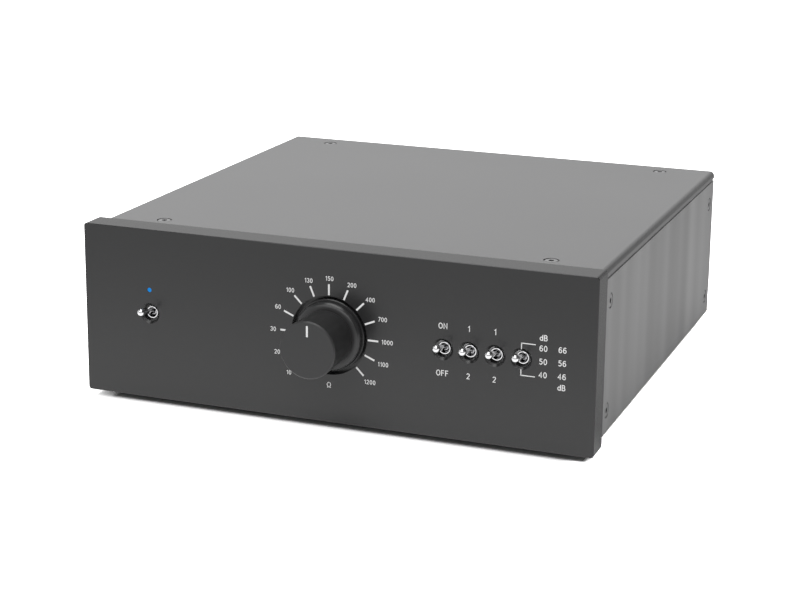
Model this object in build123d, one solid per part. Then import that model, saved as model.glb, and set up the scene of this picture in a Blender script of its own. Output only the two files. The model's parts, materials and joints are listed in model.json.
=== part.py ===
from build123d import *
import math
import os

# Half-width phono preamp: a thick front plate with a load dial, five toggle switches and a
# power light, a folded and screwed case behind it, circuit boards inside and sockets on
# the rear panel. Millimetres; x runs left to right seen from the front, y to the back, z up.
# Pieces are drawn with y = 0 on the front face of the plate and z = 0 under the feet, and
# are moved to the origin, bottom centre of the whole, when they are written.

# ---- front plate
plate_width = 206.0
plate_height = 67.5
plate_thick = 11.0
plate_lift = 3.5        # air under the plate
plate_corner = 1.2
plate_bevel = 0.25
control_rise = 34.1     # line of the controls above the underside of the plate
pocket_floor = 5.2      # plate left in front of the milled pockets
pocket_corner = 2.0
pocket_margin = 1.0     # air round what stands in a pocket

# ---- case
case_depth = 197.0      # front face of the plate to the back of the rear panel
side_inset = 1.6        # plate edge to case side
cover_drop = 1.3        # plate top to cover top
side_lift = 1.9         # plate underside to case underside
side_thick = 4.0
cover_thick = 2.0
cover_lip = 2.9         # height of the folded edge
cover_bend = 2.0        # outer radius of the fold
cover_gap = 0.15        # plate to cover
groove_height = 1.15    # shadow groove under the lip
groove_deep = 0.5
lip_gap = 0.15          # lip to the ledge behind the groove
tongue_gap = 0.2        # lip to the tongue it hides
panel_round = 0.6
sheet = 1.5             # folded steel
bend_inner = 1.0
flange_depth = 17.0
flange_relief = 6.0     # corner cut between flanges
base_thick = 1.6

# ---- M3 screws and nuts
thread_r = 1.5
hole_r = 1.7
head_r = 2.6
head_rim = 0.4          # straight edge of the head above its cone
head_round = 0.3
head_sink = 0.1         # head below the face that it is in
head_gap = 0.35         # air round the rim
pan_r = 2.8
pan_high = 1.9
pan_round = 0.76
socket_flats = 2.0
socket_deep = 1.1
nut_r = 3.0
nut_high = 2.0
thread_clear = 0.02
tap_spare = 1.0         # tapped hole beyond the end of its screw
cover_screw_edge = 22.4  # from the side of the case
base_screw_edge = 41.4
screw_row_front = 21.0
screw_row_rear = 9.5    # from the back of the case
side_screw_front = 22.5
side_screw_rear = 8.0
side_screw_low = 11.0   # above the underside of the plate
side_screw_pitch = 42.0
case_screw_length = 6.5
plate_screw_edge = 12.0
plate_screw_pitch = 48.0
plate_screw_length = 6.0

# ---- feet
foot_edge = 23.4        # from the side of the case
foot_front = 30.0
foot_rear = 27.0        # from the back of the case
foot_r = 9.0
foot_sole_r = 8.0
foot_bore_r = 3.4
foot_seat = 2.4         # height of the screw's seat

# ---- dial knob and potentiometer
knob_reach = 20.4       # cap in front of the plate
skirt_r = 13.95
skirt_deep = 2.5        # skirt behind the face of the plate
skirt_back = 0.5        # air behind the skirt
skirt_side = 1.3        # air round the skirt
skirt_sunk = 0.2         # skirt's flange behind the face of the plate
skirt_bevel = 0.2
shoulder_r = 13.4
shoulder_reach = 2.9
shoulder_round = 2.2
waist_r = 10.4
cap_r = 11.0
cap_bevel = 0.5
pointer_outer = 9.3
pointer_inner = 5.1
pointer_width = 0.8
pointer_deep = 0.25
shaft_r = 3.0
shaft_in_knob = 13.0
shaft_play = 0.05
shaft_bevel = 0.4
knob_bore_extra = 1.0
knob_fit = 0.02
grub_r = 1.5
grub_reach = 9.5        # in front of the plate
grub_length = 5.0
grub_flats = 1.5
shaft_hole_r = 3.5
pot_pocket_r = 10.0
pot_pocket_spare = 0.5  # in front of the bushing
bush_r = 3.5
bush_length = 6.0
pot_nut_flats = 10.0
pot_nut_thick = 2.2
pot_r = 8.5
pot_length = 13.5
pot_floor = 1.5
pot_board_gap = 1.0     # board to the pot's body
wafer_half = 7.0
wafer_thick = 1.2
wafer_gap = 1.6         # control board to the wafer
wafer_margin = 2.0      # wafer below its pins
pot_pin_drop = 18.0

# ---- toggle switches
control_edge = 28.0     # side of the plate to the first and to the last switch
toggle_pitch = 10.0
toggle_count = 4        # in the row at the right
toggle_bush_r = 2.5
toggle_bore_r = 2.0
toggle_bush_bevel = 0.2
toggle_gap = 0.7        # air round the bushing
toggle_sink = 0.9       # countersink round the hole
toggle_rim = 2.0        # bushing rim behind the face of the plate
toggle_pivot = 4.0      # pivot behind the face of the plate
toggle_body_w = 6.8
toggle_body_h = 12.7
toggle_wall = 0.6       # body in front of the lever's room
toggle_room_w = 4.4
toggle_room_h = 6.4
toggle_room_deep = 4.8
lever_length = 11.2     # pivot to the centre of the tip
lever_tip_r = 1.5
lever_neck_r = 0.9
lever_ball_r = 1.5
lever_tail = 3.6
lever_tail_r = 0.6
lever_rest = 12.0       # degrees above level
lever_pin_r = 0.4
lever_pin_play = 0.04
lever_pin_short = 0.1   # pin ends below the skin of the bushing
pin_side = 0.7          # square solder pins
pin_play = 0.1
pin_stub = 1.2
terminal_pitch = 4.7

# ---- power light
light_rise = 9.4        # above the switch below it
light_pipe_r = 0.85
light_pipe_fit = 0.03
light_pipe_sunk = 0.15
light_collar_r = 1.8
light_collar_thick = 1.3
led_r = 1.5
led_flange_r = 1.9
led_flange_thick = 1.0
led_length = 5.0
led_gap = 0.5
led_leg_x = 1.27
leg_side = 0.5          # square legs of small parts
leg_pitch = 1.27

# ---- boards
board_thick = 1.6
board_gap = 3.7         # inner frame to control board
control_board_edge = 9.4  # from the inside of the case
control_board_up = 17.0
control_board_down = 21.0
control_post_z = 13.0
post_inset = 4.0        # control board edge to its posts
post_flats = 5.5
board_corner = 2.0
main_board_edge = 9.4
main_board_front = 30.0
main_board_rear = 29.0  # from the back of the case
main_board_rise = 6.0
main_post_inset = 8.0
shank_r = 2.1
shank_clear = 0.05
socket_board_gap = 20.5  # from the rear panel
socket_board_edge = 5.4
socket_board_low = 6.4  # above the base
socket_board_high = 3.7  # below the cover
board_screw_length = 5.0

# ---- ribbon cable and board headers
header_x = 28.0
header_w = 22.0
header_h = 6.0
header_deep = 8.0
header_drop = 10.0
ribbon_w = 19.0
ribbon_thick = 0.9
ribbon_run = 5.2
ribbon_bend = 6.0
link_x = 38.0
link_w = 24.0
link_high = 7.4
link_deep = 6.0
link_pins = 6
link_pitch = 3.6

# ---- parts on the main board, one channel left and one right
reservoir_r = 8.0
reservoir_high = 26.0
reservoir_x = 11.0
reservoir_rear = (56.0, 34.0)  # rows, from the back of the board
vent_groove = 0.6
film_size = (13.0, 5.0, 11.0)
film_edge = (33.5, 18.0)       # columns, from the side of the board
film_rear = (72.0, 64.5, 57.0, 49.5)
relay_size = (14.0, 7.5, 9.5)
relay_edge = (40.0, 22.0)
relay_front = (17.0, 26.0)
can_r = 2.4
can_high = 4.8
can_flat = 1.6          # flat side from the middle
can_legs = 2.5
can_edge = (36.0, 28.0, 20.0)
can_rear = (28.0, 20.0)
sink_x = 34.0
sink_rear = 42.0
sink_w = 25.0
sink_deep = 10.0
sink_high = 28.0
fin_count = 6
fin_thick = 1.2
sink_back = 2.4
reg_w = 10.0
reg_thick = 4.4
reg_high = 9.2
reg_tab = 6.2
reg_tab_thick = 1.3
reg_lift = 6.0
reg_leg_pitch = 2.54
reg_leg_w = 0.8
reg_leg_thick = 0.6

# ---- rear panel sockets
socket_rise = 43.5      # balanced sockets above the underside of the plate
phono_rise = 16.5
balanced_edge = 19.4    # from the side of the case
balanced_pitch = 30.0
phono_edge = 21.4
phono_pitch = 20.0
socket_flange_w = 26.0
socket_flange_h = 31.0
socket_flange_thick = 2.2
socket_flange_corner = 3.0
shell_r = 11.8
shell_clear = 0.3
shell_length = 17.5
shell_root = 0.5        # barrel let into its flange
mouth_bevel = 0.4
input_bore_r = 9.7
input_deep = 15.0
insert_r = 7.8
insert_sunk = 0.4
insert_bevel = 0.3
contact_r = 1.3
contact_deep = 12.0
contact_ring = 3.95
output_bore_r = 8.1
output_deep = 14.5
insert_clear = 0.05
insert_base = 2.0
plug_pin_r = 1.19
plug_pin_sunk = 1.0
plug_pin_bevel = 0.4
key_w = 2.4
key_deep = 1.1
key_root = 1.0
socket_screw_x = 9.5
socket_screw_z = 12.0
socket_screw_length = 6.0
latch_w = 9.2
latch_h = 2.6
latch_top = 14.6
latch_play = 0.15
latch_proud = 1.6
latch_travel = 1.5
latch_room = 0.3        # left under the tab when it is pushed down
latch_groove = 0.3
latch_groove_pitch = 2.2
tail_r = 0.6
phono_barrel_r = 4.15
phono_flange_r = 5.4
phono_thread_r = 3.4
phono_core_r = 3.2
phono_core_play = 0.05
phono_pin_r = 1.6
phono_contact_r = 2.2
phono_contact_floor = 1.0
phono_contact_sunk = 0.6
phono_core_sunk = 0.3
phono_hole_r = 4.6
phono_collar_r = 6.2
phono_collar = 1.5
phono_flange = 1.5
phono_barrel = 7.0
phono_bevel = 0.4
phono_inside = 11.0
phono_washer = 1.0
phono_nut_flats = 9.0
phono_nut_thick = 2.0
phono_pin_deep = 10.0
jack_w = 9.0
jack_h = 11.0
jack_deep = 14.0
jack_nose_r = 4.0
jack_nose_clear = 0.1
jack_nose = 0.4
jack_bore_r = 2.85
jack_bore_deep = 9.5
jack_pin_r = 1.05
jack_pin_sunk = 0.8
jack_pin_bevel = 0.4
ground_x = -30.0
ground_r = 2.0
ground_reach = 13.0
ground_bevel = 0.4
ground_hex_flats = 7.0
ground_hex = 2.0
ground_nut_r = 4.8
ground_nut_high = 5.5
ground_nut_flutes = 12
ground_flute_r = 0.7
ground_washer_r = 4.2
ground_washer_thick = 0.8
ground_play = 0.06
ground_inside = 6.0
ground_back_nut = 2.4

over = 1.0              # cuts run this far past the faces they open

# ---- worked out from the sizes above
head_cone = head_r - thread_r  # right-angled cone
seat_z = -head_sink - head_rim
front_y = (knob_reach - case_depth - ground_reach) / 2
plate_half = plate_width / 2
plate_mid = plate_lift + plate_height / 2
plate_top = plate_lift + plate_height
control_z = plate_lift + control_rise
light_z = control_z + light_rise
case_half = plate_half - side_inset
inner_half = case_half - side_thick
cover_top = plate_top - cover_drop
cover_under = cover_top - cover_thick
lip_low = cover_top - cover_lip
base_low = plate_lift + side_lift
base_top = base_low + base_thick
frame_back = plate_thick + sheet
panel_front = case_depth - sheet
recess_r = skirt_r + skirt_side
recess_deep = skirt_deep + skirt_back
toggle_hole_r = toggle_bush_r + toggle_gap
toggle_sink_r = toggle_hole_r + toggle_sink
gain_x = plate_half - control_edge
power_x = -gain_x
toggle_x = [gain_x - toggle_pitch * step for step in reversed(range(toggle_count))]
switch_x = [power_x] + toggle_x
control_front = frame_back + board_gap
control_back = control_front + board_thick
control_board_half = inner_half - control_board_edge
control_post_x = control_board_half - post_inset
header_z = control_z - header_drop
ribbon_turn_y = control_back + header_deep + ribbon_run
main_half = inner_half - main_board_edge
main_low = base_top + main_board_rise
main_top = main_low + board_thick
main_back = case_depth - main_board_rear
sink_y = main_back - sink_rear
socket_board_back = panel_front - socket_board_gap
socket_board_front = socket_board_back - board_thick
socket_z = plate_lift + socket_rise
phono_z = plate_lift + phono_rise
balanced_x = case_half - balanced_edge
output_x = [balanced_x - balanced_pitch, balanced_x]
input_x = [-x for x in reversed(output_x)]
phono_outer = case_half - phono_edge
phono_x = [-phono_outer, phono_pitch - phono_outer, phono_outer - phono_pitch, phono_outer]
socket_mouth = case_depth + socket_flange_thick
phono_seat = case_depth + phono_collar
phono_front = phono_seat + phono_flange
phono_end = phono_front + phono_barrel
contact_places = [(-contact_ring, 0), (contact_ring, 0), (0, -contact_ring)]
screw_rows = [screw_row_front, case_depth - screw_row_rear]
cover_screw_x = case_half - cover_screw_edge
base_screw_x = case_half - base_screw_edge
cover_points = [(x, y) for y in screw_rows for x in (-cover_screw_x, cover_screw_x)]
base_points = [(x, y) for y in screw_rows for x in (-base_screw_x, base_screw_x)]
side_screw_z = [plate_lift + side_screw_low, plate_lift + side_screw_low + side_screw_pitch]
side_points = [(y, z) for y in (side_screw_front, case_depth - side_screw_rear) for z in side_screw_z]
plate_screw_x = plate_half - plate_screw_edge
plate_points = [(x, plate_mid + z) for x in (-plate_screw_x, plate_screw_x)
                for z in (-plate_screw_pitch / 2, plate_screw_pitch / 2)]
foot_x = case_half - foot_edge
foot_points = [(x, y) for x in (-foot_x, foot_x) for y in (foot_front, case_depth - foot_rear)]
control_posts = [(x, control_z + z) for x in (-control_post_x, control_post_x)
                 for z in (-control_post_z, control_post_z)]
main_post_x = main_half - main_post_inset
main_post_y = [main_board_front + main_post_inset, (main_board_front + main_back) / 2,
               main_back - main_post_inset]
main_posts = [(x, y) for x in (-main_post_x, main_post_x) for y in main_post_y]


# ---- shapes shared by the pieces
def block(x0, x1, y0, y1, z0, z1):
    return Pos((x0 + x1) / 2, (y0 + y1) / 2, (z0 + z1) / 2) * Box(x1 - x0, y1 - y0, z1 - z0)


def rod_x(radius, x0, x1, y, z):
    return Pos((x0 + x1) / 2, y, z) * Rot(0, 90, 0) * Cylinder(radius, x1 - x0)


def rod_y(radius, y0, y1, x, z):
    return Pos(x, (y0 + y1) / 2, z) * Rot(90, 0, 0) * Cylinder(radius, y1 - y0)


def rod_z(radius, z0, z1, x, y):
    return Pos(x, y, (z0 + z1) / 2) * Cylinder(radius, z1 - z0)


def square_y(side, y0, y1, x, z):
    half = side / 2
    return block(x - half, x + half, y0, y1, z - half, z + half)


def hex_y(flats, y0, y1, x, z):
    # six-sided bar along y, corners up and down
    profile = Plane.XZ * RegularPolygon(flats / 2, 6, major_radius=False)
    return Pos(x, y1, z) * extrude(profile, y1 - y0)


def hex_z(flats, z0, z1, x, y):
    return Pos(x, y, z0) * extrude(RegularPolygon(flats / 2, 6, major_radius=False), z1 - z0)


def turned(points):
    # solid of revolution about y from an outline of (radius, y) points
    return revolve(make_face(Polyline(*points, close=True)), Axis.Y)


def group(pieces):
    return Compound(children=list(pieces))


def bevel_end(shape, size, end=-1):
    # chamfer the edges of the last face along y, or of the first with end=0
    return chamfer(shape.faces().sort_by(Axis.Y)[end].edges(), size)


def screw_sink():
    # seat of a countersunk screw in a face at the origin, head up, for taking out of a panel
    shape = rod_z(head_r + head_gap, seat_z, over, 0, 0)
    shape += Pos(0, 0, seat_z - head_cone / 2) * Cone(thread_r, head_r, head_cone)
    return shape + rod_z(hole_r, seat_z - 4 * sheet, seat_z, 0, 0)


def sunk_screw(length):
    # countersunk screw with a hex socket in a face at the origin, pointing down
    rim = rod_z(head_r, seat_z, -head_sink, 0, 0)
    shape = fillet(rim.faces().sort_by(Axis.Z)[-1].edges(), head_round)
    shape += Pos(0, 0, seat_z - head_cone / 2) * Cone(thread_r, head_r, head_cone)
    shape += rod_z(thread_r, -length, seat_z - head_cone, 0, 0)
    return shape - hex_z(socket_flats, -head_sink - socket_deep, over, 0, 0)


def pan_screw(length):
    # pan head screw with a hex socket, under side of its head at the origin, pointing down
    head = rod_z(pan_r, 0, pan_high, 0, 0)
    head = fillet(head.faces().sort_by(Axis.Z)[-1].edges(), pan_round)
    shape = head + rod_z(thread_r, -length, 0, 0, 0)
    return shape - hex_z(socket_flats, pan_high - socket_deep, pan_high + over, 0, 0)


def clinch_nut():
    # round nut standing on the origin
    return rod_z(nut_r, 0, nut_high, 0, 0) - Cylinder(thread_r + thread_clear, 3 * nut_high)


face_down = Rot(180, 0, 0)
face_front = Rot(90, 0, 0)
face_back = Rot(-90, 0, 0)
face_left = Rot(0, -90, 0)
face_right = Rot(0, 90, 0)


def folded_panel():
    # open box of sheet metal: its outer face lies at y = 0 and its four flanges run along +y
    high = cover_under - base_top
    outer = block(-inner_half, inner_half, 0, flange_depth, 0, high)
    bends = outer.edges().filter_by(Axis.X).group_by(Axis.Y)[0]
    outer = fillet(bends, bend_inner + sheet)
    inner = block(-inner_half - over, inner_half + over, sheet, flange_depth + over, sheet, high - sheet)
    bends = inner.edges().filter_by(Axis.X).group_by(Axis.Y)[0]
    shape = outer - fillet(bends, bend_inner)
    for side in (-1, 1):
        edge = side * inner_half
        low, far = sorted((edge, edge - side * flange_relief))
        for z0, z1 in ((0, flange_relief), (high - flange_relief, high)):
            shape -= block(low, far, sheet + bend_inner, flange_depth + over, z0, z1)
        low, far = sorted((edge, edge - side * sheet))
        shape += block(low, far, sheet / 2, flange_depth, flange_relief, high - flange_relief)
    return Pos(0, 0, base_top) * shape


def drill_flanges(panel, row_y, side_y):
    # clearance holes for the cover, base and side screws
    for side in (-1, 1):
        panel -= rod_z(hole_r, cover_under - 2 * sheet, cover_under + over, side * cover_screw_x, row_y)
        panel -= rod_z(hole_r, base_top - over, base_top + 2 * sheet, side * base_screw_x, row_y)
        for z in side_screw_z:
            low, far = sorted((side * (inner_half + over), side * (inner_half - 2 * sheet)))
            panel -= rod_x(hole_r, low, far, side_y, z)
    return panel


def switch_windows(y0, y1):
    # clear space round the left switch with its light, and round the row at the right
    wide = toggle_body_w / 2 + pocket_margin
    tall = toggle_body_h / 2 + pocket_margin
    light_top = light_z + led_flange_r + pocket_margin
    left = block(power_x - wide, power_x + wide, y0, y1, control_z - tall, light_top)
    right = block(toggle_x[0] - wide, gain_x + wide, y0, y1, control_z - tall, control_z + tall)
    return [fillet(box.edges().filter_by(Axis.Y), pocket_corner) for box in (left, right)]


# ---- front plate and case
def make_front_plate():
    plate = block(-plate_half, plate_half, 0, plate_thick, plate_lift, plate_top)
    plate = fillet(plate.edges().filter_by(Axis.Y), plate_corner)
    plate = bevel_end(plate, plate_bevel, 0)
    for pocket in switch_windows(pocket_floor, plate_thick + over):
        plate -= pocket
    plate -= rod_y(recess_r, -over, recess_deep, 0, control_z)
    plate -= rod_y(shaft_hole_r, 0, plate_thick, 0, control_z)
    pot_front = frame_back - bush_length - pot_pocket_spare
    plate -= rod_y(pot_pocket_r, pot_front, plate_thick + over, 0, control_z)
    for x in switch_x:
        cone = face_front * Cone(toggle_hole_r, toggle_sink_r, toggle_sink)
        plate -= Pos(x, toggle_sink / 2, control_z) * cone
        plate -= rod_y(toggle_hole_r, 0, plate_thick, x, control_z)
    plate -= rod_y(light_pipe_r + light_pipe_fit, -over, plate_thick, power_x, light_z)
    tap_front = frame_back - plate_screw_length - tap_spare
    for x, z in plate_points:
        plate -= rod_y(thread_r + thread_clear, tap_front, plate_thick + over, x, z)
    return plate


def make_inner_front_frame():
    frame = Pos(0, plate_thick, 0) * folded_panel()
    frame = drill_flanges(frame, screw_row_front, side_screw_front)
    front, back = plate_thick - over, frame_back + over
    for window in switch_windows(front, back):
        frame -= window
    frame -= rod_y(bush_r + knob_fit, front, back, 0, control_z)
    for x, z in plate_points:
        frame -= rod_y(hole_r, front, back, x, z)
    for x, z in control_posts:
        frame -= rod_y(shank_r + shank_clear, front, back, x, z)
    return frame


def make_rear_panel():
    panel = Pos(0, case_depth, 0) * Rot(0, 0, 180) * folded_panel()
    panel = drill_flanges(panel, case_depth - screw_row_rear, case_depth - side_screw_rear)
    front, back = panel_front - over, case_depth + over
    for x in input_x + output_x:
        panel -= rod_y(shell_r + shell_clear, front, back, x, socket_z)
        for side in (-1, 1):
            screw_x = x + side * socket_screw_x
            panel -= rod_y(thread_r + thread_clear, front, back, screw_x, socket_z + side * socket_screw_z)
    for x in phono_x:
        panel -= rod_y(phono_hole_r, front, back, x, phono_z)
    panel -= rod_y(jack_nose_r + jack_nose_clear, front, back, 0, phono_z)
    panel -= rod_y(ground_r + thread_clear, front, back, ground_x, phono_z)
    return panel


def make_side_panel(side):
    # full thickness to the groove, a ledge behind the groove and a tongue under the cover
    tongue = case_half - cover_thick - tongue_gap
    ledge = lip_low - lip_gap
    groove_low = lip_low - groove_height
    outline = Polyline(
        (inner_half, base_low),
        (case_half, base_low),
        (case_half, groove_low),
        (case_half - groove_deep, groove_low),
        (case_half - groove_deep, ledge),
        (tongue, ledge),
        (tongue, cover_under),
        (inner_half, cover_under),
        close=True)
    panel = Pos(0, case_depth, 0) * extrude(Plane.XZ * make_face(outline), case_depth - plate_thick)
    outer = panel.faces().sort_by(Axis.X)[-1]
    panel = fillet(outer.edges().group_by(Axis.Z)[0] + outer.edges().group_by(Axis.Y)[-1], panel_round)
    for y, z in side_points:
        panel -= Pos(case_half, y, z) * face_right * screw_sink()
    if side < 0:
        panel = mirror(panel, Plane.YZ)
    return panel


def make_top_cover():
    front = plate_thick + cover_gap
    cover = block(-case_half, case_half, front, case_depth, lip_low, cover_top)
    bends = cover.faces().sort_by(Axis.Z)[-1].edges().filter_by(Axis.Y)
    cover = fillet(bends, cover_bend)
    hollow = case_half - cover_thick
    cover -= block(-hollow, hollow, front - over, case_depth + over, lip_low - over, cover_under)
    for x, y in cover_points:
        cover -= Pos(x, y, cover_top) * screw_sink()
    return cover


def make_base_plate():
    base = block(-inner_half, inner_half, plate_thick, case_depth, base_low, base_top)
    low, high = base_low - over, base_top + over
    for x, y in base_points:
        base -= Pos(x, y, base_low) * face_down * screw_sink()
    for x, y in foot_points:
        base -= rod_z(thread_r + thread_clear, low, high, x, y)
    for x, y in main_posts:
        base -= rod_z(shank_r + shank_clear, low, high, x, y)
    return base


def make_cover_screws():
    return group(Pos(x, y, cover_top) * sunk_screw(case_screw_length) for x, y in cover_points)


def make_side_screws():
    screw = sunk_screw(case_screw_length + side_thick - cover_thick)
    left = [Pos(-case_half, y, z) * face_left * screw for y, z in side_points]
    right = [Pos(case_half, y, z) * face_right * screw for y, z in side_points]
    return group(left + right)


def make_base_screws():
    return group(Pos(x, y, base_low) * face_down * sunk_screw(case_screw_length) for x, y in base_points)


def make_clinch_nuts():
    nuts = [Pos(x, y, cover_under - sheet) * face_down * clinch_nut() for x, y in cover_points]
    nuts += [Pos(x, y, base_top + sheet) * clinch_nut() for x, y in base_points]
    inside = inner_half - sheet
    nuts += [Pos(inside, y, z) * face_left * clinch_nut() for y, z in side_points]
    nuts += [Pos(-inside, y, z) * face_right * clinch_nut() for y, z in side_points]
    return group(nuts)


def make_plate_screws():
    screw = face_back * pan_screw(plate_screw_length)
    return group(Pos(x, frame_back, z) * screw for x, z in plate_points)


def make_feet():
    foot = Pos(0, 0, base_low / 2) * Cone(foot_sole_r, foot_r, base_low)
    foot -= rod_z(foot_bore_r, -over, foot_seat, 0, 0)
    foot -= rod_z(hole_r, 0, base_low + over, 0, 0)
    foot = fillet(foot.faces().sort_by(Axis.Z)[0].outer_wire().edges(), panel_round)
    return group(Pos(x, y, 0) * foot for x, y in foot_points)


def make_foot_screws():
    screw = pan_screw(base_top - foot_seat + sheet)
    return group(Pos(x, y, foot_seat) * face_down * screw for x, y in foot_points)


# ---- dial knob and potentiometer
def make_knob():
    # outline from the back of the skirt over the rounded shoulder and along the grip to the cap
    face = -knob_reach
    step = -shoulder_reach
    skirt = Polyline(
        (0, skirt_deep),
        (skirt_r, skirt_deep),
        (skirt_r, skirt_sunk + skirt_bevel),
        (skirt_r - skirt_bevel, skirt_sunk),
        (shoulder_r, skirt_sunk),
        (shoulder_r, step + shoulder_round))
    shoulder = RadiusArc(skirt @ 1, (shoulder_r - shoulder_round, step), shoulder_round)
    grip = Polyline(
        shoulder @ 1,
        (waist_r, step),
        (cap_r, face + cap_bevel),
        (cap_r - cap_bevel, face),
        (0, face),
        (0, skirt_deep))
    knob = revolve(make_face(Curve() + [skirt, shoulder, grip]), Axis.Y)
    knob = Pos(0, 0, control_z) * knob
    bore_front = -shaft_in_knob - knob_bore_extra
    knob -= rod_y(shaft_r + knob_fit, bore_front, skirt_deep + over, 0, control_z)
    knob -= rod_z(grub_r + thread_clear, control_z - cap_r - over, control_z, 0, -grub_reach)
    mark = (pointer_outer + pointer_inner) / 2
    length = pointer_outer - pointer_inner
    knob -= Pos(0, face, control_z + mark) * Box(pointer_width, 2 * pointer_deep, length)
    return knob


def make_grub_screw():
    seat = control_z - shaft_r
    low = seat - grub_length
    screw = rod_z(grub_r, low, seat, 0, -grub_reach)
    return screw - hex_z(grub_flats, low - over, low + socket_deep, 0, -grub_reach)


def make_pot_shaft():
    back = frame_back + pot_length - pot_floor - over
    return bevel_end(rod_y(shaft_r, -shaft_in_knob, back, 0, control_z), shaft_bevel, 0)


def make_pot_body():
    back = frame_back + pot_length
    front = frame_back - bush_length
    body = bevel_end(rod_y(pot_r, frame_back, back, 0, control_z), panel_round)
    body += rod_y(bush_r, front, frame_back + over, 0, control_z)
    wafer_y = control_back + wafer_gap
    pin_z = control_z - pot_pin_drop
    body += block(-wafer_half, wafer_half, wafer_y, wafer_y + wafer_thick, pin_z - wafer_margin, control_z)
    for x in (-terminal_pitch, 0, terminal_pitch):
        body += square_y(pin_side, control_front - pin_stub, wafer_y + wafer_thick / 2, x, pin_z)
    return body - rod_y(shaft_r + shaft_play, front - over, back - pot_floor, 0, control_z)


def make_pot_nut():
    nut = hex_y(pot_nut_flats, plate_thick - pot_nut_thick, plate_thick, 0, control_z)
    return nut - rod_y(bush_r, 0, 2 * plate_thick, 0, control_z)


# ---- toggle switches and power light
def make_switch_body(x):
    # box on the control board with the bushing that carries the lever and three solder pins
    half_w, half_h = toggle_body_w / 2, toggle_body_h / 2
    body = block(x - half_w, x + half_w, pocket_floor, control_front, control_z - half_h, control_z + half_h)
    bush = rod_y(toggle_bush_r, toggle_rim, pocket_floor + over, x, control_z)
    body += bevel_end(bush, toggle_bush_bevel, 0)
    body -= rod_y(toggle_bore_r, toggle_rim - over, pocket_floor + over, x, control_z)
    half_w, half_h = toggle_room_w / 2, toggle_room_h / 2
    room_front = pocket_floor + toggle_wall
    body -= block(x - half_w, x + half_w, room_front, room_front + toggle_room_deep,
                  control_z - half_h, control_z + half_h)
    pin_end = toggle_bush_r + over
    body -= rod_x(lever_pin_r, x - pin_end, x + pin_end, toggle_pivot, control_z)
    for z in (control_z - terminal_pitch, control_z, control_z + terminal_pitch):
        body += square_y(pin_side, control_front - over, control_back + pin_stub, x, z)
    return body


def make_lever(x):
    # drawn level from the pivot at the origin towards the viewer, then raised to its rest
    shape = turned([
        (0, lever_tail),
        (lever_tail_r, lever_tail),
        (lever_tail_r, 0),
        (lever_neck_r, 0),
        (lever_neck_r, -toggle_pivot),
        (lever_tip_r, -lever_length),
        (0, -lever_length)])
    shape += Sphere(lever_ball_r) + Pos(0, -lever_length, 0) * Sphere(lever_tip_r)
    shape -= rod_x(lever_pin_r + lever_pin_play, -2 * lever_ball_r, 2 * lever_ball_r, 0, 0)
    return Pos(x, toggle_pivot, control_z) * Rot(-lever_rest, 0, 0) * shape


def make_lever_pins():
    reach = toggle_bush_r - lever_pin_short
    return group(rod_x(lever_pin_r, x - reach, x + reach, toggle_pivot, control_z) for x in switch_x)


def make_light_pipe():
    back = pocket_floor + light_collar_thick
    pipe = rod_y(light_pipe_r, light_pipe_sunk, back, power_x, light_z)
    return pipe + rod_y(light_collar_r, pocket_floor, back, power_x, light_z)


def make_power_led():
    front = pocket_floor + light_collar_thick + led_gap
    back = front + led_length
    led = rod_y(led_r, front + led_r, back, power_x, light_z)
    led += Pos(power_x, front + led_r, light_z) * Sphere(led_r)
    led += rod_y(led_flange_r, back - led_flange_thick, back, power_x, light_z)
    for x in (power_x - led_leg_x, power_x + led_leg_x):
        led += square_y(leg_side, back - led_flange_thick, control_back + pin_stub, x, light_z)
    return led


# ---- boards and what joins them
def make_control_board():
    board = block(-control_board_half, control_board_half, control_front, control_back,
                  control_z - control_board_down, control_z + control_board_up)
    board = fillet(board.edges().filter_by(Axis.Y), board_corner)
    front, back = control_front - over, control_back + over
    board -= rod_y(pot_r + pot_board_gap, front, back, 0, control_z)
    terminals = (-terminal_pitch, 0, terminal_pitch)
    pins = [(x, control_z - pot_pin_drop) for x in terminals]
    pins += [(x, control_z + z) for x in switch_x for z in terminals]
    pins += [(power_x + side * led_leg_x, light_z) for side in (-1, 1)]
    for x, z in pins:
        board -= square_y(pin_side + pin_play, front, back, x, z)
    for x, z in control_posts:
        board -= rod_y(hole_r, front, back, x, z)
    return board


def make_main_board():
    board = block(-main_half, main_half, main_board_front, main_back, main_low, main_top)
    board = fillet(board.edges().filter_by(Axis.Z), board_corner)
    for x, y in main_posts:
        board -= rod_z(hole_r, main_low - over, main_top + over, x, y)
    return board


def make_socket_board():
    half = inner_half - socket_board_edge
    return block(-half, half, socket_board_front, socket_board_back,
                 base_top + socket_board_low, cover_under - socket_board_high)


def make_board_posts():
    bore = thread_r + thread_clear
    posts = []
    for x, y in main_posts:
        post = hex_z(post_flats, base_top, main_low, x, y)
        post += rod_z(shank_r, base_low, base_top, x, y)
        posts.append(post - rod_z(bore, base_low - over, main_low + over, x, y))
    for x, z in control_posts:
        post = hex_y(post_flats, frame_back, control_front, x, z)
        post += rod_y(shank_r, plate_thick, frame_back, x, z)
        posts.append(post - rod_y(bore, plate_thick - over, control_front + over, x, z))
    return group(posts)


def make_board_screws():
    screw = pan_screw(board_screw_length)
    screws = [Pos(x, y, main_top) * screw for x, y in main_posts]
    screws += [Pos(x, control_back, z) * face_back * screw for x, z in control_posts]
    return group(screws)


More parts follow.
